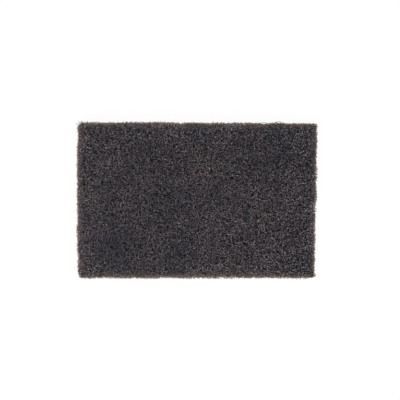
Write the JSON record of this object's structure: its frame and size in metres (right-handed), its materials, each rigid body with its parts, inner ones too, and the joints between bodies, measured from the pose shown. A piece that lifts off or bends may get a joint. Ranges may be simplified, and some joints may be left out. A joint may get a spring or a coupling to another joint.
{
  "type": "griddle scouring pad",
  "caption": "Flat rectangular block of stiff, coarse non-woven abrasive web, for scouring griddles by hand or in a pad holder.",
  "frame": {"origin": "on the plane the pad lies on, below the middle of its outer box", "axes": "+X along the long side, to the right in the picture; +Y across the pad, up in the picture; +Z through its thickness, from the underside to the face in the picture"},
  "size_m": [0.154, 0.1002, 0.0095],
  "materials": {
    "web": "dark charcoal nylon strands coated with resin and abrasive grain, matt with small glints, open and rough to the touch"
  },
  "bodies": {
    "root": {"pad": "web"}
  },
  "joints": []
}
